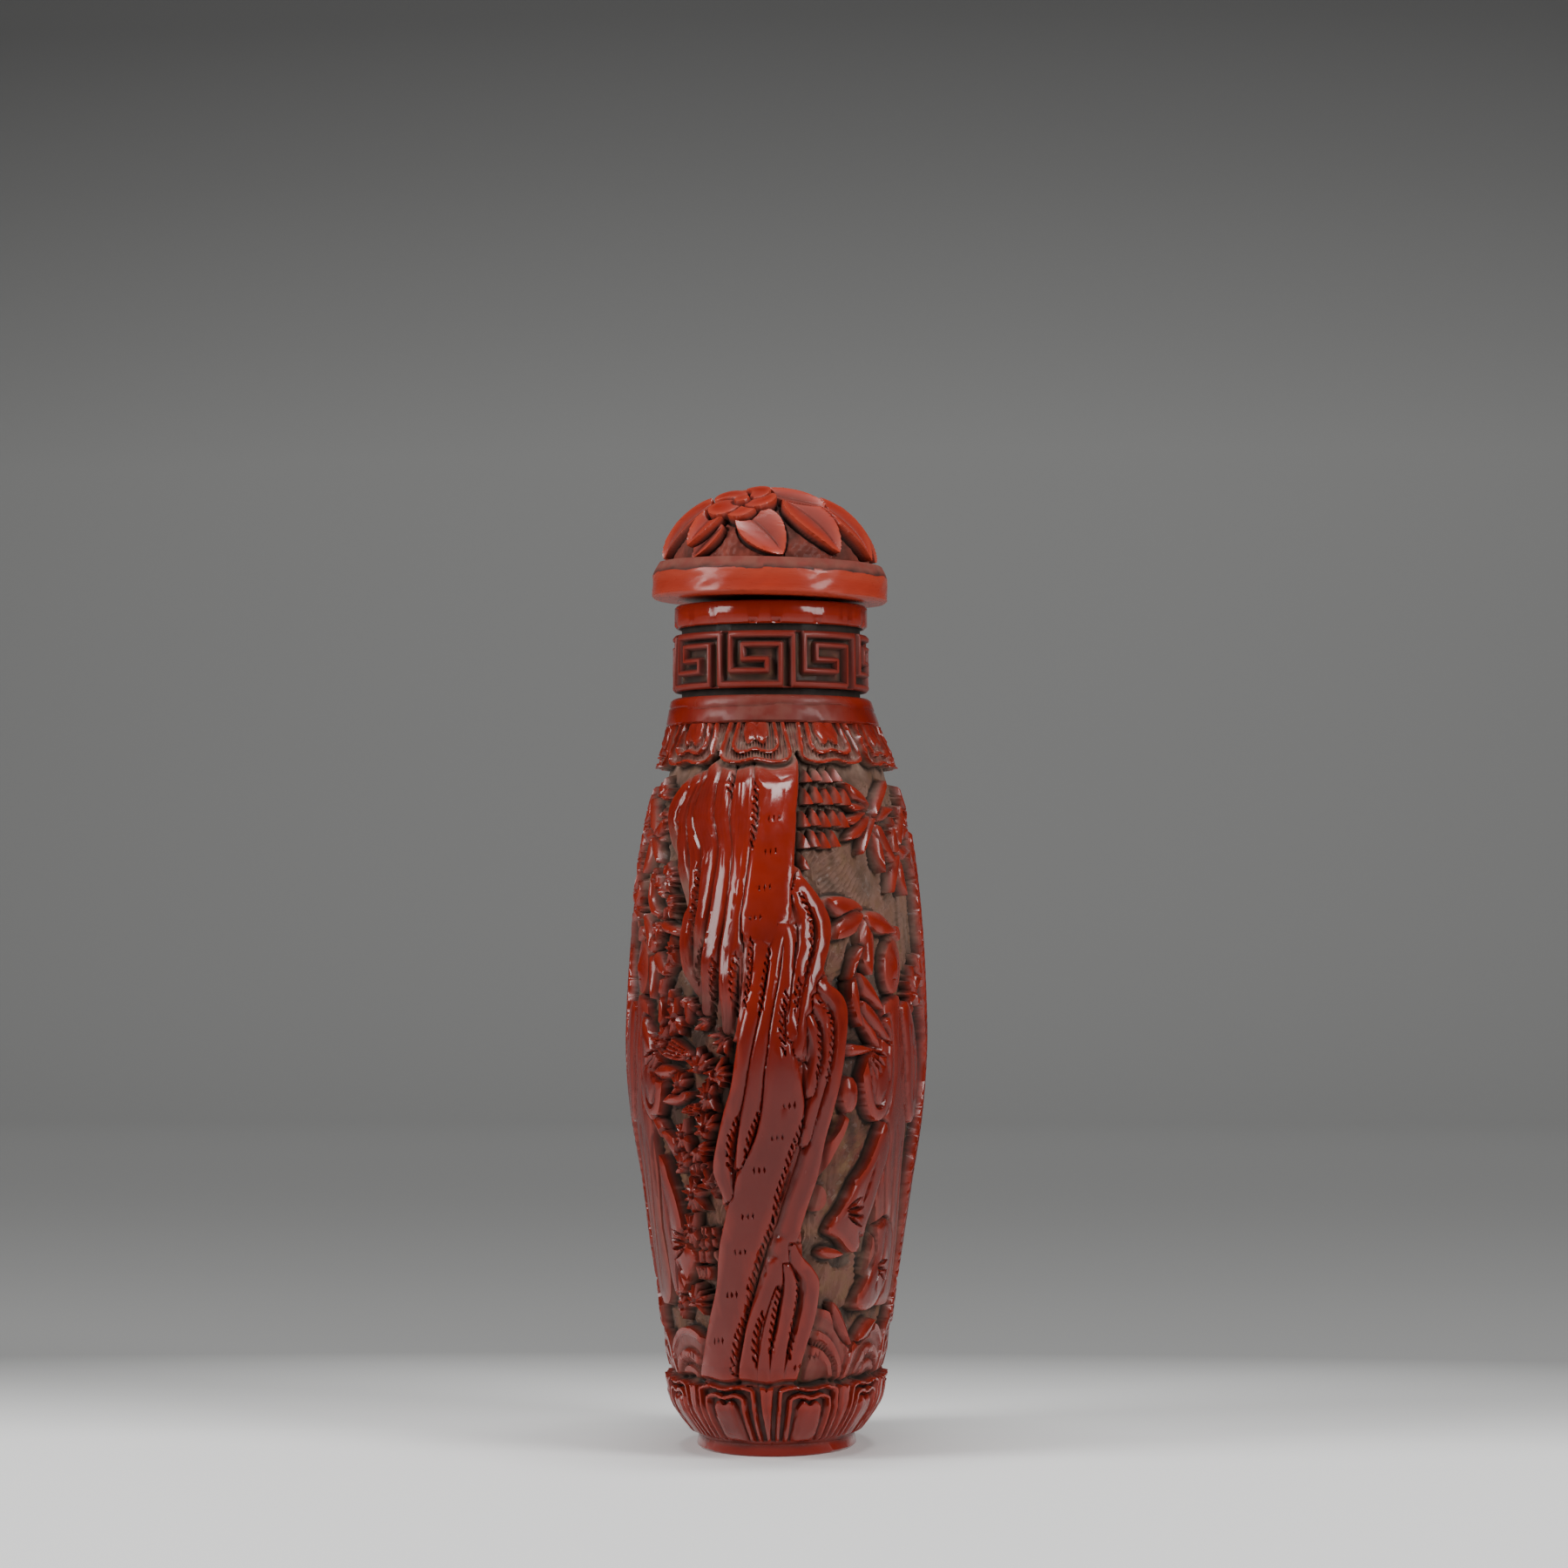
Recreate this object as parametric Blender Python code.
# Snuff bottle in carved red lacquer: a hollow flattened bottle and the domed stopper that lifts off it.
# Sizes are in millimetres, and MM turns them into Blender's metres.
# The bottle stands on its foot at z = 0. Its narrow sides, each carved with a tall garden rock,
# face -Y and +Y, and its broad faces, each carved with two figures and a pine, face +X and -X.

import math

import bpy
import numpy as np

MM = 0.001
TURN = 2 * math.pi

# Bottle: heights of the stacked stages, from the foot up
FOOT_HEIGHT = 1.0
BODY_HEIGHT = 58.6
COLLAR_HEIGHT = 2.3
NECK_GROOVE_HEIGHT = 0.6
FRET_HEIGHT = 4.7
LIP_HEIGHT = 1.9

# Bottle: half sizes, where depth is the narrow way (X) and width is the broad way (Y)
FOOT_HALF_DEPTH = 6.6
FOOT_HALF_WIDTH = 10.6
BODY_HALF_DEPTH = 12.6
BODY_HALF_WIDTH = 22.0
COLLAR_HALF_DEPTH = 8.95
COLLAR_HALF_WIDTH = 9.2
COLLAR_TAPER = 0.6
FRET_RADIUS = 8.2
NECK_GROOVE_DEPTH = 0.75
LIP_RADIUS = 8.05
NECK_LEAN = 0.5
FOOT_RIM_WIDTH = 2.2
FOOT_RECESS = 0.5
EDGE_ROUND = 0.2

# Bottle: the hollow inside
BORE_RADIUS = 3.6
WALL = 4.2
FLOOR_THICKNESS = 4.5
SHOULDER_THICKNESS = 5.0

# Swelling of the body between foot and widest point, then between widest point and collar:
# share of the body's height, share of the way from the end's half size to the body's half size
SWELL_BELOW = [(0, .04), (.025, .23), (.05, .38), (.075, .43), (.15, .50), (.25, .63), (.35, .785),
               (.45, .93)]
SWELL_ABOVE = [(.55, 1), (.65, .965), (.75, .87), (.82, .73), (.89, .515), (.945, .31), (1, .015)]

# Carving
GROUND_DEPTH = 1.25
WALL_SLOPE = 0.35
PETAL_GROOVE_DEPTH = 0.55
PETAL_CORNER = 0.55
PETAL_SLOPE = 0.25
PETAL_GROUND_SLOPE = 0.35
PETAL_BAND_HEIGHT = 5.6
LAPPET_BAND_HEIGHT = 4.1
FRET_PANELS = 8
FRET_PHASE = 0.48
FRET_LINE_WIDTH = 0.5
FRET_SLOPE = 0.2
FRET_GROOVE_DEPTH = 0.5
ROCK_CUT = 0.45
ROCK_CUT_WIDTH = 0.5
FLUTE_ROUND = 0.15
FLUTE_ROUND_WIDTH = 1.1
LEAF_ROOF = 0.28
ROBE_ROUND = 0.35
ROBE_ROUND_WIDTH = 1.1
FAR_FIGURE_SHIFT = 1.0

# Nested petals standing up from the foot, and lappets hanging from the collar: how many, how far round
# the first one starts, height of the row, the raised lines (how far out across the half petal, how far
# up the row, width), the tongue within them, and the spike between two petals (start, narrowing)
PETALS = (10, 0.0, PETAL_BAND_HEIGHT, [(.69, .9, .3), (.48, .76, .36)], (.22, .58), (.8, .13))
LAPPETS = (10, 0.66, LAPPET_BAND_HEIGHT, [(.86, .84, .42), (.58, .6, .36)], (.3, .38), (.94, 0))

# Stopper
STOPPER_SHIFT = 0.15
STOPPER_TILT = 1.2
SEAT_GAP = 0.3
DISC_RADIUS = 9.85
DISC_HEIGHT = 3.0
DISC_CHAMFER = 0.55
DOME_RADIUS = 9.25
DOME_HEIGHT = 7.0
DOME_GROUND_DEPTH = 0.95
PLUG_CLEARANCE = 0.35
PLUG_LENGTH = 6.0

# Mesh
BOTTLE_COLUMN_COUNT = 448
STOPPER_COLUMN_COUNT = 220
ROW_STEP = 0.27
HOLLOW_ROW_COUNT = 24
BOTTLE_FACE_COUNT = 7700
STOPPER_FACE_COUNT = 2100
EDGE_ANGLE = 35
FLAT_REACH = 0.14

foot_top = FOOT_HEIGHT
body_top = foot_top + BODY_HEIGHT
collar_top = body_top + COLLAR_HEIGHT
fret_bottom = collar_top + NECK_GROOVE_HEIGHT
fret_top = fret_bottom + FRET_HEIGHT
lip_bottom = fret_top + NECK_GROOVE_HEIGHT
lip_top = lip_bottom + LIP_HEIGHT
scene_bottom = foot_top + PETAL_BAND_HEIGHT
scene_top = body_top - LAPPET_BAND_HEIGHT

# The scenes are drawn on a body 58.6 high, and grow with it
DRAWN_BODY_HEIGHT = 58.6
drawing_scale = BODY_HEIGHT / DRAWN_BODY_HEIGHT


def smooth(x):
    x = np.clip(x, 0, 1)
    return x * x * (3 - 2 * x)


def curve_through(stations, x):
    """A smooth curve read at x through (place, value) stations."""
    px, py = np.array(stations, float).T
    slope = np.gradient(py, px)
    i = np.clip(np.searchsorted(px, x) - 1, 0, len(px) - 2)
    step = px[i + 1] - px[i]
    u = np.clip((x - px[i]) / step, 0, 1)
    keep, turn = (1 + 2 * u) * (1 - u) ** 2, u * (1 - u) ** 2 * step
    return (py[i] * keep + slope[i] * turn
            + py[i + 1] * (1 - keep) - slope[i + 1] * u * u * (1 - u) * step)


def body_half_sizes(z):
    """Half depth and half width of the body's uncarved skin at height z."""
    share = np.clip((z - foot_top) / BODY_HEIGHT, 0, 1)
    swell = curve_through(SWELL_BELOW + SWELL_ABOVE, share)
    widest = SWELL_ABOVE[0][0]
    end_depth = np.where(share < widest, FOOT_HALF_DEPTH, COLLAR_HALF_DEPTH)
    end_width = np.where(share < widest, FOOT_HALF_WIDTH, COLLAR_HALF_WIDTH)
    return (end_depth + (BODY_HALF_DEPTH - end_depth) * swell,
            end_width + (BODY_HALF_WIDTH - end_width) * swell)


def even_angles(count):
    """Angles round the body, from the -Y side towards +X, at even steps along its widest oval."""
    fine = np.linspace(0, TURN, 4001)
    speed = np.hypot(BODY_HALF_DEPTH * np.cos(fine), BODY_HALF_WIDTH * np.sin(fine))
    length = np.concatenate([[0], np.cumsum((speed[1:] + speed[:-1]) / 2)])
    return np.interp(np.arange(count) / count * length[-1], length, fine)


def along_surface(angles, half_depth, half_width, start):
    """Length along each oval from the angle start, positive towards larger angles."""
    wrapped = (angles - start + math.pi) % TURN - math.pi
    fine = np.linspace(-math.pi, math.pi, 721)
    speed = np.hypot(half_depth[:, None] * np.cos(fine + start), half_width[:, None] * np.sin(fine + start))
    step = fine[1] - fine[0]
    length = np.cumsum(speed, axis=1) * step
    length -= length[:, [360]]
    place = (wrapped + math.pi) / step
    low = np.clip(place.astype(int), 0, 719)
    part = place - low
    return length[:, low] * (1 - part) + length[:, low + 1] * part


# Signed distances to the carved forms: positive inside, in millimetres, and FAR where a form can't reach
FAR = -99.0


def smooth_line(points, steps=5):
    """A Catmull-Rom curve through the points."""
    p = np.array(points, float)
    p = np.vstack([2 * p[0] - p[1], p, 2 * p[-1] - p[-2]])
    u = (np.arange(steps) / steps)[:, None]
    runs = [0.5 * (2 * b + (c - a) * u + (2 * a - 5 * b + 4 * c - d) * u ** 2
                   + (3 * b - a - 3 * c + d) * u ** 3)
            for a, b, c, d in zip(p, p[1:], p[2:], p[3:])]
    return np.vstack(runs + [p[-2:-1]])


def near_line(s, z, line, reach):
    """Which points lie in the box round the line, widened by reach."""
    low, high = line.min(axis=0) - reach, line.max(axis=0) + reach
    return (s > low[0]) & (s < high[0]) & (z > low[1]) & (z < high[1])


def inside_line(s, z, line, half):
    """Distance into a line of straight runs, with a half width at each of its points."""
    inside = np.full(s.shape, FAR)
    near = near_line(s, z, line, half.max() + 1)
    ps, pz, best = s[near], z[near], inside[near]
    for (s0, z0), (s1, z1), h0, h1 in zip(line, line[1:], half, half[1:]):
        ds, dz = s1 - s0, z1 - z0
        u = np.clip(((ps - s0) * ds + (pz - z0) * dz) / (ds * ds + dz * dz), 0, 1)
        best = np.maximum(best, h0 + (h1 - h0) * u - np.hypot(ps - s0 - u * ds, pz - z0 - u * dz))
    inside[near] = best
    return inside


def inside_ribbon(s, z, points, widths):
    """Distance into a ribbon along a smooth line, whose half width runs evenly through widths."""
    line = smooth_line(points)
    share = np.linspace(0, 1, len(line))
    return inside_line(s, z, line, np.interp(share, np.linspace(0, 1, len(widths)), widths))


def inside_outline(s, z, points):
    """Distance into a closed outline with softened corners."""
    loop = smooth_line(points + points[:1], 3)
    inside = np.full(s.shape, FAR)
    near = near_line(s, z, loop, 1)
    ps, pz = s[near], z[near]
    away = np.full(ps.shape, -FAR)
    within = np.zeros(ps.shape, bool)
    for (s0, z0), (s1, z1) in zip(loop, loop[1:]):
        ds, dz = s1 - s0, z1 - z0
        u = np.clip(((ps - s0) * ds + (pz - z0) * dz) / (ds * ds + dz * dz + 1e-12), 0, 1)
        away = np.minimum(away, np.hypot(ps - s0 - u * ds, pz - z0 - u * dz))
        if dz:
            within ^= ((z0 > pz) != (z1 > pz)) & (ps < s0 + (pz - z0) * ds / dz)
    inside[near] = np.where(within, away, -away)
    return inside


def inside_leaf(s, z, base, angle, length, width):
    """Distance into a pointed leaf, and how far across it each point lies, from -1 to 1."""
    c, n = math.cos(math.radians(angle)), math.sin(math.radians(angle))
    along = ((s - base[0]) * c + (z - base[1]) * n) / length
    across = (z - base[1]) * c - (s - base[0]) * n
    u = np.clip(along, 0.001, 0.999)
    half = width / 2 * np.sin(math.pi * u ** 0.8) ** 0.8
    end = np.maximum(-along, along - 1) * length
    return np.where(end > 0, -np.hypot(end, across), half - np.abs(across)), across / np.maximum(half, 0.05)


def raise_form(field, inside, top, slope=WALL_SLOPE):
    """Leaves the form standing at top, with walls down to what is around it."""
    lift = smooth(inside / slope + 0.5)
    np.maximum(field, -GROUND_DEPTH + (top + GROUND_DEPTH) * lift, out=field)


def lay_form(field, inside, top, cut=0.45, slope=WALL_SLOPE):
    """Lays a form over what is there, with a cut round its edge."""
    moat = smooth(1 - np.abs(inside + slope) / (1.6 * slope))
    np.maximum(field - cut * moat, -GROUND_DEPTH, out=field)
    lift = smooth(inside / slope + 0.5)
    field += (top - field) * lift


def cut_groove(field, s, z, points, width, depth):
    """A V-shaped cut along a smooth line, fading out at both ends."""
    inside = inside_ribbon(s, z, points, [0.05, width, width, 0.05])
    field -= depth * smooth(inside / width)


# The garden rock down each narrow side: flutes that meet in sharp cuts, each given as its middle line and
# half widths, drawn in millimetres from the middle of the side and from the base
ROCK_FLUTES = [
    ([(.4, 56), (.8, 52), (.55, 48.6), (.35, 46), (.1, 43.6), (0, 42.4)], [2, 1.45, 1.7, 1.8, 1.85, 1.2]),
    ([(-.1, 42.6), (-.3, 39.6), (-.7, 36.3), (-1.3, 33.6), (-1.9, 30.1), (-2.6, 28), (-3.3, 25.5),
      (-3.6, 23.5), (-3, 21.6)], [.85, .6, .5, .5, .5, .5, .5, .6, .3]),
    ([(1.3, 43), (1, 39.5), (.4, 36.3), (-.1, 33.7), (-.6, 31), (-1, 28), (-1.5, 25.5), (-1.9, 24)],
     [.6, .5, .45, .5, .6, .6, .4, .1]),
    ([(2, 42.4), (1.9, 39.5), (1.5, 36.3), (1.3, 34.5), (1.5, 33), (1.6, 31), (1.7, 28.6), (1.2, 26.2),
      (-.1, 23.1), (-1.2, 20.1), (-2.3, 17), (-2.7, 14.9), (-2.95, 13.5), (-3.9, 10.2), (-4.5, 7.5),
      (-4.9, 6.4)], [.3, .45, .6, .65, .9, 1.3, 1.55, 1.6, 1.7, 1.7, 1.5, 1.35, 1.3, 1.45, 1.6, 1.7]),
    ([(4.9, 38.2), (6.5, 37.2), (7.1, 36), (6.9, 33.5), (6.4, 31), (5.6, 28.5), (4.7, 26), (4, 23.5),
      (3, 21), (2.3, 19), (1.4, 16.6), (.6, 14.3), (-.4, 12), (-1, 10), (-1.4, 8), (-1.6, 6.4)],
     [.2, .4, .5, .5, .5, .5, .5, .6, .6, .55, .55, .55, .55, .6, .6, .6]),
    ([(3, 46.3), (4.2, 45), (5.2, 43.3), (5.3, 41.8), (4.7, 39.8), (3.9, 37.4), (3.3, 35), (2.9, 33)],
     [.2, .35, .45, .4, .4, .4, .35, .2]),
    ([(2.7, 45.6), (3.7, 43.3), (3.7, 41.6), (3.1, 39.2), (2.7, 36.5), (2.4, 34.2)], [.2, .35, .35, .3]),
    ([(4.3, 37.2), (5.6, 35.4), (5.9, 33.5), (5.2, 30.8), (4.3, 28.3), (3.6, 26)], [.2, .35, .4, .35, .2]),
    ([(3.8, 35.6), (4.7, 33.8), (4.8, 32.2), (4.1, 29.8)], [.2, .3, .3, .2]),
    ([(-1.8, 56), (-1.9, 52), (-1.9, 48.7), (-2.2, 46), (-2.5, 43.3), (-2.9, 41), (-3, 38.7), (-3.2, 36.3),
      (-3.3, 34.8)], [.9, 1.2, .7, .65, .6, .55, .5, .4, .3]),
    ([(-3.6, 55.8), (-3.9, 52), (-3.4, 49), (-3.7, 46), (-4.1, 43.3), (-4.6, 41.2), (-5.1, 38.7),
      (-5.5, 36.3)], [.6, .7, .6, .6, .55, .5, .5, .35]),
    ([(-5, 55.4), (-5.9, 52), (-4.9, 49.3), (-5.1, 47), (-5.7, 44), (-6.4, 41.7), (-6.7, 39.8)],
     [.6, 1.25, .8, .65, .5, .45, .2]),
    ([(-6, 55), (-7.4, 51.8), (-6.4, 48.5), (-6.5, 46.2), (-7.1, 43.3), (-7.6, 41.2), (-7.6, 39.4),
      (-6.5, 38)], [.3, .4, .4, .35, .35, .35, .35, .35]),
    ([(-6.9, 54.6), (-8.3, 52), (-8.3, 49.5), (-8.2, 46.8), (-7.6, 44.9)], [.4, .5, .5, .45]),
    ([(-8.1, 54), (-10, 52.2), (-10.2, 50.2), (-9.3, 48.6)], [.4, .5, .5, .35]),
    ([(1.8, 18.2), (2.6, 16.4), (3.7, 15.2), (4.1, 14.2), (3.7, 12), (3, 10), (2.4, 8.2), (2, 6.4)],
     [.25, .35, .45, .5, .45, .4]),
    ([(1.1, 16.6), (1.8, 15.4), (2.1, 13.8), (1.6, 11.3), (1.1, 9), (.8, 6.4)], [.2, .3, .4, .4]),
    ([(.9, 14.2), (.5, 12.6), (.1, 10.8), (-.2, 9), (-.2, 6.4)], [.2, .3, .35, .35]),
]
ROCK_SKIRT = 0.42

# Layered mounds at the foot of the scenes: middle, half sizes of the outer layer, number of layers
MOUNDS = [((4, 5.8), (5.3, 6.7), 3), ((12.6, 4.4), (5, 6.4), 3), ((20, 5.4), (5, 5.2), 3),
          ((-9, 4), (5.4, 6.6), 3), ((-16.4, 5), (4.6, 4.8), 3), ((-22, 5.6), (4.4, 4.8), 3)]
MOUND_LAYER_SHARE = 0.72

# Leaf sprays: where the leaves spring from, then each leaf's tip and width
LEAF_SPRAYS = [
    ((11.5, 51.7), [(7.1, 54.6, 1.2), (7.6, 52.8, 1), (7.3, 51.3, 1.1), (7.8, 49.8, 1.2), (13.3, 47.2, 1.2),
                    (16.2, 47.6, 1.3), (15.2, 52.6, 1.2), (14, 55, 1.1), (9.6, 48.6, .9)]),
    ((10.3, 43.7), [(5.1, 44.9, 1.9), (5.7, 41.9, 1.7), (11, 38.9, 1.9), (15.4, 42.5, 1.7)]),
    ((8.7, 39.2), [(12.9, 36.2, 1.4), (9.6, 34.8, 1.3)]),
    ((9.8, 36.9), [(12.1, 33.2, 1.5), (14.2, 33.6, 1.3)]),
    ((6.9, 33), [(11.3, 33, 1)]),
    ((16.6, 48.8), [(18.4, 52.4, 1.3), (15.2, 51, 1.2), (20.6, 49.2, 1.3), (18.4, 45.4, 1.3),
                    (14.8, 45.6, 1.2)]),
    ((-13.4, 40.8), [(-10.4, 39, 1.4), (-16.6, 43, 1.5), (-16.8, 39.6, 1.4), (-13, 37, 1.3),
                     (-11.6, 43.6, 1.2)]),
    ((-14.6, 50.2), [(-11.6, 51.6, 1.3), (-16.2, 53.6, 1.3), (-18.6, 50.6, 1.3), (-16.4, 47.2, 1.3),
                     (-12.4, 48, 1.2)]),
    ((-12.6, 31.2), [(-8.6, 31.3, 1.1)]),
    ((-10.9, 28.8), [(-6.9, 29.6, 1.1)]),
    ((-11.4, 26.4), [(-6, 22.6, 1.6)]),
    ((-12.8, 33.7), [(-6.7, 32.5, 1.9)]),
]

# Pine needles in fans: middle, length, direction that they open to
TUFTS = [(-5.9, 31.5, 1.9, 95), (-3.2, 34.2, 1.9, 150), (-4.6, 29.4, 1.7, 220), (-7.3, 36.6, 2, 270),
         (-6.9, 21.4, 1.9, 170), (-4.9, 22.2, 1.7, 60), (-5.4, 26.4, 1.7, 140), (-8, 25.6, 1.5, 200),
         (-7.3, 18.6, 1.7, 190), (-5.2, 18, 1.5, 270), (-6.2, 15.2, 1.3, 270), (-11.4, 46.4, 1.9, 30),
         (-13, 53.6, 1.8, 80), (4.4, 53.2, 1.6, 90), (6.6, 52.2, 1.6, 80), (4.2, 50, 1.5, 270),
         (6.6, 49.8, 1.4, 270)]
PINE_TRUNK = [(-1.5, 7), (1.4, 14), (-1.2, 22), (1.6, 30), (.2, 38), (-1.4, 45), (.4, 51)]
PINE_BRANCHES = [[(.6, 27.5), (4.6, 30), (7.6, 29)], [(1, 34), (-3.4, 37), (-6.8, 36)],
                 [(-.6, 41.5), (4, 44), (7.4, 43)], [(-1, 47), (-4.6, 49.4), (-7.2, 48.6)]]
PINE_TUFTS = [(7.2, 30.2, 2.4, 90), (4.2, 31.4, 2.3, 90), (-6.6, 37.4, 2.4, 90), (-3.6, 38.8, 2.3, 90),
              (7, 44.4, 2.4, 90), (4, 45.8, 2.3, 90), (-7, 49.8, 2.3, 90), (-3.6, 51, 2.3, 90),
              (.6, 52.6, 2.2, 90), (9.6, 50.8, 2.2, 90)]
LOOSE_BRANCHES = [[(-13.2, 47.4), (-13.9, 45.4), (-12.7, 43.9), (-10.6, 42.8), (-8.8, 42.4), (-7.5, 42.5)],
                  [(-7.7, 40.6), (-9.8, 40), (-10.8, 38.8), (-11.4, 36.8)],
                  [(-9.2, 25.2), (-5.4, 23.6), (-2.6, 22.4)]]

# A standing figure's robe in overlapping pieces: outline, height, folds
ROBES = [
    ([(13.6, 36.6), (12.9, 33), (13.4, 28), (12.6, 23), (12.9, 18.5), (11.6, 14.8), (12.4, 12.4),
      (15.4, 11.9), (19.4, 12.4), (20.2, 17), (19.4, 23), (19.6, 29), (18.6, 34), (16.6, 37.4)], -.3,
     [[(14.6, 26), (14.3, 22), (14.8, 17), (14.4, 13)], [(16.4, 27), (16.3, 21), (16.6, 14)],
      [(18, 26), (18.2, 20), (18.4, 14)]]),
    ([(12.9, 18.6), (13.3, 16.6), (11.9, 14.8), (9.5, 12.6), (10.7, 11.8), (12.8, 12), (14.8, 13.1),
      (16.5, 14.8), (17, 17.8), (15, 19.2)], -.1, [[(14.6, 18.6), (14.4, 16.4), (12.6, 13.4)]]),
    ([(9.2, 22.6), (11.2, 24.2), (13.6, 27.2), (14.6, 25), (12.8, 21.9), (11.9, 20.4), (10.9, 19),
      (10.2, 17.6), (9.4, 16.7), (8.3, 16.8), (7, 17.9), (5.7, 18.5), (6.3, 19.5), (7.3, 20.3)], -.05,
     [[(7.2, 19.8), (8.6, 19.7), (10, 19.4)], [(7.8, 18.6), (9, 18.9), (10.1, 19.2)]]),
    ([(9.8, 31), (10.2, 29.4), (10.8, 28), (12.2, 27.2), (13.9, 28), (14.9, 29.8), (14.9, 33), (14.2, 35.6),
      (12.6, 34.4), (11, 33)], -.05, [[(11, 30.6), (11.4, 29), (12.2, 28.4), (13, 28.9), (13.4, 30.2)]]),
    ([(16.8, 36.4), (17.8, 33), (18.4, 29.4), (19.6, 27), (21.4, 27.4), (21.8, 31), (20.6, 34.4),
      (18.6, 36.8)], -.05, [[(18.6, 35), (19.4, 31.6), (20, 28.6)]]),
]
FAR_FIGURE_ROBES = (0, 3, 4)
FAR_SLEEVE = ([(-12.4, 24.6), (-12.2, 22.4), (-12.3, 20.5), (-12.4, 18.7), (-12, 17.2), (-11.7, 15.4),
               (-11, 13.7), (-10, 12.7), (-8.6, 14), (-7.3, 15.6), (-6.4, 16.3), (-7.6, 17.1), (-8.5, 17.9),
               (-8.9, 19.4), (-9.7, 21.3), (-10.7, 22.8), (-11.3, 24)], -.03,
              [[(-11.6, 22), (-10.8, 19.4), (-10.4, 17)]])
HEAD = (15.3, 39.6, 1.8, 2.2)
TOPKNOT = (15.8, 42.2, 1.0, .8)
STAFF = [(8.5, 28.6), (7.6, 26.7), (6.4, 25.3), (5.2, 23.9), (4.4, 22.9)]
STAFF_BUD = (8.4, 29.5, 1.0, 1.45)
BOSS = (4.8, 21.3, 1.15, 1.15)

# Leaves and a flower on the stopper's dome: each leaf from its root to its tip, as (distance from the
# dome's top, turn in degrees from the -Y side towards +X), and its width
DOME_LEAVES = [((1.2, 120), (6.2, 150), 3), ((1.2, -150), (6.2, -118), 3), ((6, 112), (12, 126), 3.6),
               ((6.6, 148), (12.2, 160), 3.6), ((5.6, 180), (12, 194), 3.6), ((6.4, -142), (12.2, -130), 3.6),
               ((6, -108), (12, -98), 3.6), ((6.5, -56), (12, -82), 3.2), ((10, -28), (12.5, -46), 2),
               ((7.2, -31), (11.4, -45), 2.6), ((8.6, -15), (12.4, 9), 4), ((6.6, 74), (12, 93), 3.2),
               ((5.8, 38), (12, 72), 3.2), ((6.4, 13), (11.9, 43), 3.8), ((4.2, -6), (6.2, 52), 3)]
FLOWER_PLACE = (5.8, -24)
FLOWER_PETALS = 5
FLOWER_RADIUS = 1.75
FLOWER_PETAL_RADIUS = 1.5
DOME_LEAF_HOLLOW = 0.4

# One panel of the fret round the neck, as shares of its width and height: the line runs on into the
# panel before it
FRET_LINE = [(.845, .93), (0, .93), (0, .3), (.5, .3), (.5, .5), (.17, .5), (.17, .76), (.68, .76),
             (.68, .07), (-.155, .07), (-.155, .93)]


def inside_oval(s, z, oval):
    middle_s, middle_z, half_s, half_z = oval
    return (1 - np.hypot((s - middle_s) / half_s, (z - middle_z) / half_z)) * min(half_s, half_z)


def carve_rock(field, s, z):
    best, second = np.full(s.shape, FAR), np.full(s.shape, FAR)
    for line, widths in ROCK_FLUTES:
        inside = inside_ribbon(s, z, line, widths)
        np.maximum(second, np.minimum(best, inside), out=second)
        np.maximum(best, inside, out=best)
    between = best - second
    bend = FLUTE_ROUND * (1 - smooth(between / FLUTE_ROUND_WIDTH))
    lay_form(field, best + ROCK_SKIRT, -bend - ROCK_CUT * (1 - smooth(between / ROCK_CUT_WIDTH)))


def carve_mounds(field, s, z):
    for (middle_s, middle_z), (half_s, half_z), layers in MOUNDS:
        for layer in range(layers):
            size = MOUND_LAYER_SHARE ** layer
            inside = inside_oval(s, z, (middle_s, middle_z, half_s * size, half_z * size))
            lay_form(field, inside, -0.3 - 0.35 * smooth((inside - 0.4) / 0.3), cut=0.25)


def carve_leaf(field, s, z, root, tip, width):
    angle = math.degrees(math.atan2(tip[1] - root[1], tip[0] - root[0]))
    inside, across = inside_leaf(s, z, root, angle, math.hypot(tip[0] - root[0], tip[1] - root[1]), width)
    lay_form(field, inside, -0.06 - LEAF_ROOF * np.clip(np.abs(across), 0, 1))


def carve_tuft(field, s, z, middle_s, middle_z, size, opens_to):
    """A fan of needles, carved here as one scalloped mass."""
    angle = np.arctan2(z - middle_z, s - middle_s) - math.radians(opens_to)
    reach = size * (0.74 + 0.26 * np.cos(8 * angle)) * (0.8 + 0.2 * np.cos(angle))
    away = np.hypot(s - middle_s, z - middle_z)
    lay_form(field, reach - away, -0.1 - 0.3 * np.clip(away / size, 0, 1), cut=0.3)


def carve_robe(field, s, z, robe):
    outline, top, folds = robe
    inside = inside_outline(s, z, outline)
    lay_form(field, inside, top - ROBE_ROUND * (1 - smooth(inside / ROBE_ROUND_WIDTH)))
    for fold in folds:
        cut_groove(field, s, z, fold, 0.4, 0.35)


def carve_figure(field, s, z, robes=tuple(range(len(ROBES))), holds_staff=True):
    carve_robe(field, s, z, ROBES[0])
    lay_form(field, inside_oval(s, z, TOPKNOT), -0.3, cut=0.2)
    head = inside_oval(s, z, HEAD)
    lay_form(field, head, -0.45 + 0.4 * smooth(head / HEAD[2]), cut=0.3)
    if holds_staff:
        raise_form(field, inside_ribbon(s, z, STAFF, [.3, .35, .5, .65, .7]), -0.35)
        lay_form(field, inside_oval(s, z, STAFF_BUD), -0.1)
        lay_form(field, inside_oval(s, z, BOSS), -0.55)
    for i in robes[1:]:
        carve_robe(field, s, z, ROBES[i])


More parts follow.
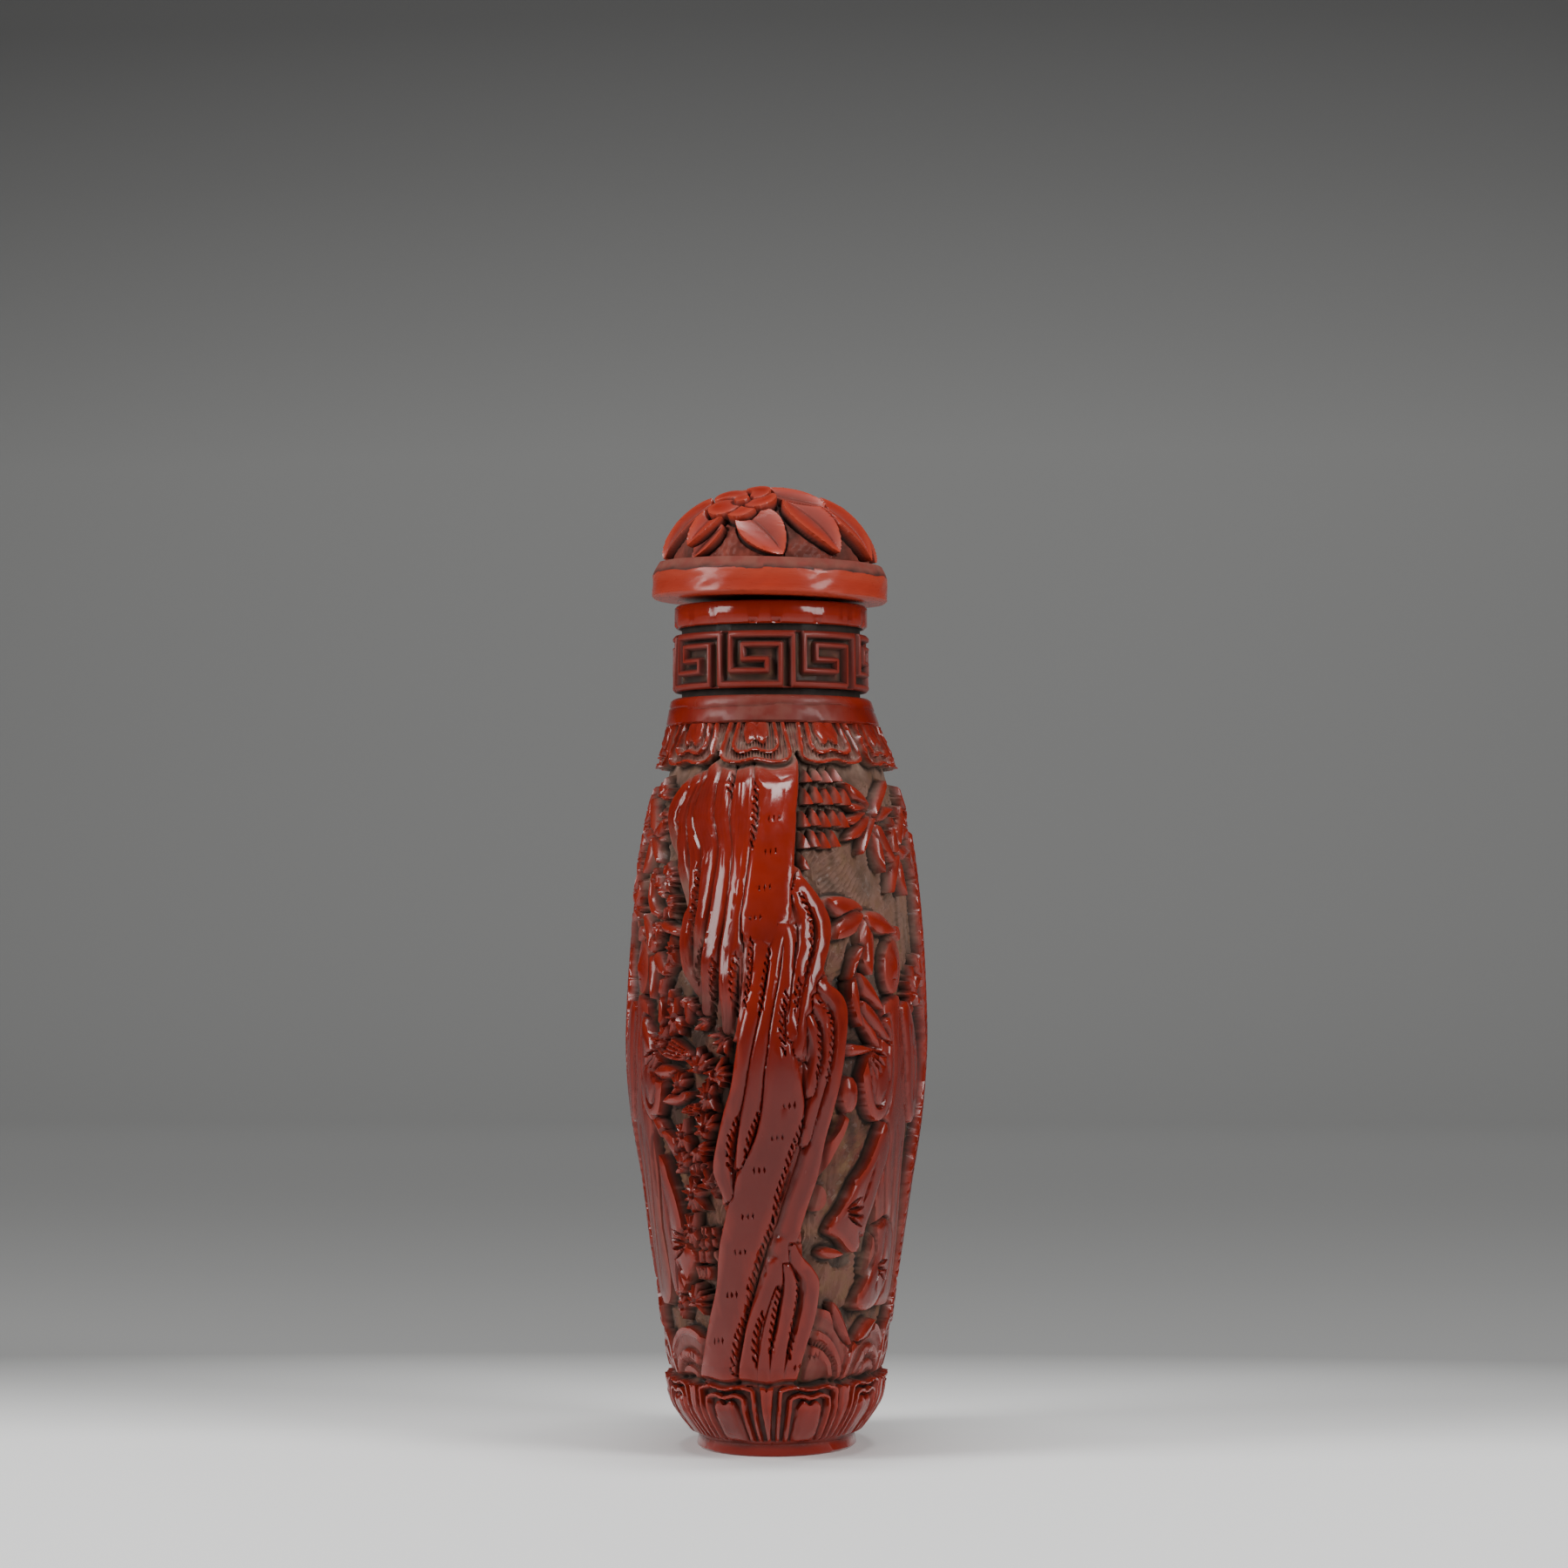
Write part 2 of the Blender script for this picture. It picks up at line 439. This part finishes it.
def carve_far_figure(field, s, z):
    carve_figure(field, -s - FAR_FIGURE_SHIFT, z, FAR_FIGURE_ROBES, False)


def carve_pine(field, s, z):
    raise_form(field, inside_ribbon(s, z, PINE_TRUNK, [1.5, 1.2, 1, .8, .6, .5]), 0.0)
    for branch in PINE_BRANCHES:
        raise_form(field, inside_ribbon(s, z, branch, [.6, .45, .3]), -0.2)
    for tuft in PINE_TUFTS:
        carve_tuft(field, s, z, *tuft)


def carve_rock_side(field, s, z):
    """What stands beside the rock, from the ground up, and the rock over it."""
    carve_robe(field, s, z, FAR_SLEEVE)
    carve_mounds(field, s, z)
    for branch in LOOSE_BRANCHES:
        lay_form(field, inside_ribbon(s, z, branch, [.3, .45, .4, .3]), -0.1)
    for root, spray in LEAF_SPRAYS:
        for tip_s, tip_z, width in spray:
            carve_leaf(field, s, z, root, (tip_s, tip_z), width)
    for tuft in TUFTS:
        carve_tuft(field, s, z, *tuft)
    carve_rock(field, s, z)


def petal_edge(share, up, pitch, height, out, reach):
    """Distance into a petal's line, which reaches out sideways and up as shares of the half petal and row."""
    aside, above = (out - np.abs(share)) * pitch / 2, reach * height - up
    corner = PETAL_CORNER - np.hypot(np.minimum(aside, PETAL_CORNER) - PETAL_CORNER,
                                     np.minimum(above, PETAL_CORNER) - PETAL_CORNER)
    return np.minimum(np.minimum(aside, above), corner)


def petal_carving(row, share, up, pitch):
    """Height of a row of nested petals, where share runs from -1 to 1 across a petal and up from its root."""
    _, _, height, lines, tongue, spike = row
    rise = smooth(petal_edge(share, up, pitch, height, *tongue) / PETAL_SLOPE + 0.5)
    for out, reach, width in lines:
        edge = petal_edge(share, up, pitch, height, out, reach)
        line = smooth(edge / PETAL_SLOPE + 0.5) * smooth((width - edge) / PETAL_SLOPE + 0.5)
        rise = np.maximum(rise, line)
    start, fall = spike
    beyond = (np.abs(share) - start - fall * (1 - up / height)) * pitch / 2
    rise = np.maximum(rise, smooth(beyond / PETAL_SLOPE + 0.5))
    out, reach, _ = lines[0]
    past = -petal_edge(share, up, pitch, height, 1.1, reach)
    floor = PETAL_GROOVE_DEPTH + (GROUND_DEPTH - PETAL_GROOVE_DEPTH) * smooth(past / PETAL_GROUND_SLOPE)
    return -floor * (1 - rise * smooth(1 - past / PETAL_GROUND_SLOPE))


def fret_carving(angles, up):
    """Height of the fret round the neck at the share up of its height, zero or less."""
    pitch = TURN * FRET_RADIUS / FRET_PANELS
    x = (angles / TURN * FRET_PANELS + FRET_PHASE) % 1 * pitch
    y = np.full(len(angles), up * FRET_HEIGHT)
    line = np.array(FRET_LINE) * (pitch, FRET_HEIGHT)
    half = np.full(len(line), FRET_LINE_WIDTH / 2)
    inside = np.maximum(inside_line(x, y, line, half), inside_line(x - pitch, y, line, half))
    return -FRET_GROOVE_DEPTH * (1 - smooth(inside / FRET_SLOPE + 0.5))


def body_carving(angles, z):
    """Height of the carved surface over the body's skin, zero or less, for each row z and each angle."""
    half_depth, half_width = body_half_sizes(z)
    field = np.full((len(z), len(angles)), -GROUND_DEPTH)
    rows = (z > scene_bottom) & (z < scene_top)
    drawn_z = np.repeat(foot_top + (z - foot_top) / drawing_scale, len(angles)).reshape(field.shape)
    scene = field[rows]
    for start in (0, math.pi):
        side = along_surface(angles, half_depth, half_width, start)[rows] / drawing_scale
        face = along_surface(angles, half_depth, half_width, start + math.pi / 2)[rows] / drawing_scale
        near_side = np.abs(side) < 27
        near_face = np.abs(face) < 14
        drawn = drawn_z[rows]
        for form, s, near in ((carve_pine, face, near_face), (carve_far_figure, side, near_side),
                              (carve_figure, side, near_side), (carve_rock_side, side, near_side)):
            cut_out = scene[near]
            form(cut_out, s[near], drawn[near])
            scene[near] = cut_out
    field[rows] = scene

    # Petals stand up from the foot, and lappets hang from the collar
    around = along_surface(angles, half_depth, half_width, 0)
    ends = along_surface(np.array([-math.pi, math.pi - 1e-6]), half_depth, half_width, 0)
    length = ends[:, 1:] - ends[:, :1]
    turn = around / length
    for rows, row, up in ((z <= scene_bottom, PETALS, z - foot_top), (z >= scene_top, LAPPETS, body_top - z)):
        share = 2 * ((turn[rows] * row[0] + row[1]) % 1) - 1
        field[rows] = petal_carving(row, share, up[rows, None], length[rows] / row[0])
    return field


def skin(name, rings, columns):
    """A closed mesh from rings of points, from the middle of the underside to the inside's floor."""
    points = [rings[0].mean(axis=0)[None]] + rings + [rings[-1].mean(axis=0)[None]]
    count = len(rings) * columns
    ids = 1 + np.arange(count).reshape(len(rings), columns)
    ahead = np.roll(ids, -1, axis=1)
    quads = np.stack([ids[:-1], ahead[:-1], ahead[1:], ids[1:]], axis=-1).reshape(-1, 4)
    faces = quads.tolist()
    faces += [[0, b, a] for a, b in zip(ids[0].tolist(), ahead[0].tolist())]
    faces += [[count + 1, a, b] for a, b in zip(ids[-1].tolist(), ahead[-1].tolist())]
    mesh = bpy.data.meshes.new(name)
    mesh.from_pydata(np.vstack(points) * MM, [], faces)
    mesh.update()
    piece = bpy.data.objects.new(name, mesh)
    bpy.context.scene.collection.objects.link(piece)
    return piece


def thin_out(piece, faces, flats):
    """Keeps about that many triangles, where the form needs them, and keeps the flats at their heights."""
    dense = piece.data
    triangles = sum(len(p.vertices) - 2 for p in dense.polygons)
    thin = piece.modifiers.new("thin_out", "DECIMATE")
    thin.ratio = min(1, faces / triangles)
    graph = bpy.context.evaluated_depsgraph_get()
    piece.data = bpy.data.meshes.new_from_object(piece.evaluated_get(graph))
    piece.modifiers.clear()
    bpy.data.meshes.remove(dense)
    for point in piece.data.vertices:
        for height in flats:
            if abs(point.co.z / MM - height) < FLAT_REACH:
                point.co.z = height * MM
    piece.data.shade_smooth()
    piece.data.set_sharp_from_angle(angle=math.radians(EDGE_ANGLE))


def oval_ring(angles, half_depth, half_width, z, lift=0.0, lean=0.0):
    """Points round an oval, moved outwards by lift along the oval's own normal."""
    x, y = np.sin(angles), -np.cos(angles)
    normal_x, normal_y = x * half_width, y * half_depth
    size = np.hypot(normal_x, normal_y)
    return np.stack([half_depth * x + lift * normal_x / size + lean,
                     half_width * y + lift * normal_y / size,
                     np.full(len(angles), z)], axis=1)


def lean_at(z):
    """The neck stands a little to one side, as the hand-carved bottle's does."""
    return -NECK_LEAN * float(smooth((z - scene_top) / (fret_bottom - scene_top)))


def build_bottle():
    angles = even_angles(BOTTLE_COLUMN_COUNT)
    z = np.linspace(foot_top, body_top, int(BODY_HEIGHT / ROW_STEP) + 1)
    half_depth, half_width = body_half_sizes(z)
    carving = body_carving(angles, z)
    rim_depth, rim_width = FOOT_HALF_DEPTH - FOOT_RIM_WIDTH, FOOT_HALF_WIDTH - FOOT_RIM_WIDTH
    rings = [oval_ring(angles, rim_depth * 0.5, rim_width * 0.5, FOOT_RECESS),
             oval_ring(angles, rim_depth, rim_width, FOOT_RECESS),
             oval_ring(angles, rim_depth, rim_width, 0),
             oval_ring(angles, FOOT_HALF_DEPTH - EDGE_ROUND, FOOT_HALF_WIDTH - EDGE_ROUND, 0),
             oval_ring(angles, FOOT_HALF_DEPTH, FOOT_HALF_WIDTH, EDGE_ROUND)]
    for i, height in enumerate(z):
        rings.append(oval_ring(angles, half_depth[i], half_width[i], height, carving[i], lean_at(height)))

    def stage(half_depth, half_width, low, high, carved=None, taper=0.0):
        """A band round the neck with rounded edges."""
        middle = np.arange(low + EDGE_ROUND, high - EDGE_ROUND - ROW_STEP / 3, ROW_STEP)
        heights = [low, *middle, high - EDGE_ROUND, high]
        for h in heights:
            inset = EDGE_ROUND if h in (low, high) else 0.0
            shrink = inset + taper * (h - low) / (high - low)
            lift = 0.0 if carved is None or inset else carved(angles, (h - low) / (high - low))
            rings.append(oval_ring(angles, half_depth - shrink, half_width - shrink, h, lift, lean_at(h)))

    stage(COLLAR_HALF_DEPTH, COLLAR_HALF_WIDTH, body_top, collar_top, taper=COLLAR_TAPER)
    waist = FRET_RADIUS - NECK_GROOVE_DEPTH
    rings += [oval_ring(angles, waist, waist, h, 0, lean_at(h)) for h in (collar_top, fret_bottom)]
    stage(FRET_RADIUS, FRET_RADIUS, fret_bottom, fret_top, fret_carving)
    rings += [oval_ring(angles, waist, waist, h, 0, lean_at(h)) for h in (fret_top, lip_bottom)]
    stage(LIP_RADIUS, LIP_RADIUS, lip_bottom, lip_top)

    # Straight down the bore, out under the shoulder and down inside the body
    hollow_top, hollow_bottom = body_top - SHOULDER_THICKNESS, foot_top + FLOOR_THICKNESS
    mouth = BORE_RADIUS + EDGE_ROUND
    rings.append(oval_ring(angles, mouth, mouth, lip_top, 0, -NECK_LEAN))
    for h in (lip_top - EDGE_ROUND, hollow_top):
        rings.append(oval_ring(angles, BORE_RADIUS, BORE_RADIUS, h, 0, -NECK_LEAN))
    for share in np.linspace(0, 1, HOLLOW_ROW_COUNT + 1)[1:]:
        h = hollow_top + (hollow_bottom - hollow_top) * share
        outer_depth, outer_width = (float(size) for size in body_half_sizes(np.array(h)))
        close = math.sin(math.pi * (0.01 + 0.98 * share)) ** 0.4
        rings.append(oval_ring(angles, max(BORE_RADIUS, (outer_depth - WALL) * close),
                               max(BORE_RADIUS, (outer_width - WALL) * close), h))
    bottle = skin("bottle", rings, BOTTLE_COLUMN_COUNT)
    thin_out(bottle, BOTTLE_FACE_COUNT, (0, FOOT_RECESS, lip_top))
    return bottle


def on_dome(away, turn):
    """A place on the dome, drawn flat: away from its top, and turned from the -Y side towards +X."""
    return away * math.sin(math.radians(turn)), -away * math.cos(math.radians(turn))


def dome_carving(x, y):
    """Height of the carved dome under its leaves' tops, zero or less."""
    field = np.full(x.shape, -GROUND_DEPTH)
    for start, end, width in DOME_LEAVES:
        (x0, y0), (x1, y1) = on_dome(*start), on_dome(*end)
        angle = math.degrees(math.atan2(y1 - y0, x1 - x0))
        inside, across = inside_leaf(x, y, (x0, y0), angle, math.hypot(x1 - x0, y1 - y0), width)
        lay_form(field, inside, DOME_LEAF_HOLLOW * (np.clip(np.abs(across), 0, 1) - 1))
    middle = on_dome(*FLOWER_PLACE)
    for i in range(FLOWER_PETALS):
        turn = TURN * i / FLOWER_PETALS - math.pi / 2
        place = (middle[0] + FLOWER_RADIUS * math.cos(turn), middle[1] + FLOWER_RADIUS * math.sin(turn))
        inside = inside_oval(x, y, (*place, FLOWER_PETAL_RADIUS, FLOWER_PETAL_RADIUS))
        lay_form(field, inside, -0.25 * smooth(inside / FLOWER_PETAL_RADIUS))
    return field * DOME_GROUND_DEPTH / GROUND_DEPTH


def build_stopper():
    angles = np.arange(STOPPER_COLUMN_COUNT) / STOPPER_COLUMN_COUNT * TURN
    plug_radius = BORE_RADIUS - PLUG_CLEARANCE
    disc_top = DISC_HEIGHT
    rings = [oval_ring(angles, plug_radius - EDGE_ROUND, plug_radius - EDGE_ROUND, -PLUG_LENGTH),
             oval_ring(angles, plug_radius, plug_radius, -PLUG_LENGTH + EDGE_ROUND),
             oval_ring(angles, plug_radius, plug_radius, 0),
             oval_ring(angles, DISC_RADIUS - EDGE_ROUND, DISC_RADIUS - EDGE_ROUND, 0),
             oval_ring(angles, DISC_RADIUS, DISC_RADIUS, EDGE_ROUND),
             oval_ring(angles, DISC_RADIUS, DISC_RADIUS, disc_top - DISC_CHAMFER),
             oval_ring(angles, DISC_RADIUS - DISC_CHAMFER, DISC_RADIUS - DISC_CHAMFER, disc_top)]
    tilts = np.linspace(0, math.pi / 2, 60)
    radii, heights = DOME_RADIUS * np.cos(tilts), DOME_HEIGHT * np.sin(tilts)
    steps = np.hypot(np.diff(radii), np.diff(heights))
    reach = np.concatenate([[0], np.cumsum(steps)])
    reach = reach[-1] - reach
    for radius, height, away, tilt in list(zip(radii, heights, reach, tilts))[:-1]:
        carved = dome_carving(away * np.sin(angles), -away * np.cos(angles))
        out = np.array([math.cos(tilt) * DOME_HEIGHT, math.sin(tilt) * DOME_RADIUS])
        out /= np.hypot(*out)
        ring = oval_ring(angles, radius, radius, disc_top + height, carved * out[0])
        ring[:, 2] = np.maximum(ring[:, 2] + carved * out[1], disc_top + 0.02 * height)
        rings.append(ring)
    stopper = skin("stopper", rings, STOPPER_COLUMN_COUNT)
    thin_out(stopper, STOPPER_FACE_COUNT, (0, -PLUG_LENGTH))
    # The lower side of the tilted disc clears the lip by the seat gap
    seat_rise = LIP_RADIUS * math.sin(math.radians(STOPPER_TILT))
    stopper.location = ((-NECK_LEAN - STOPPER_SHIFT) * MM, 0, (lip_top + SEAT_GAP + seat_rise) * MM)
    stopper.rotation_euler = (0, math.radians(STOPPER_TILT), 0)
    return stopper


def lacquer(name, colour, roughness):
    material = bpy.data.materials.new(name)
    material.use_nodes = True
    shader = material.node_tree.nodes["Principled BSDF"]
    shader.inputs["Base Color"].default_value = (*colour, 1)
    shader.inputs["Roughness"].default_value = roughness
    shader.inputs["Metallic"].default_value = 0
    return material


def main():
    for old in list(bpy.data.objects):
        bpy.data.objects.remove(old)
    build_bottle().data.materials.append(lacquer("body_lacquer", (0.30, 0.022, 0.015), 0.25))
    build_stopper().data.materials.append(lacquer("stopper_lacquer", (0.42, 0.035, 0.018), 0.3))


main()
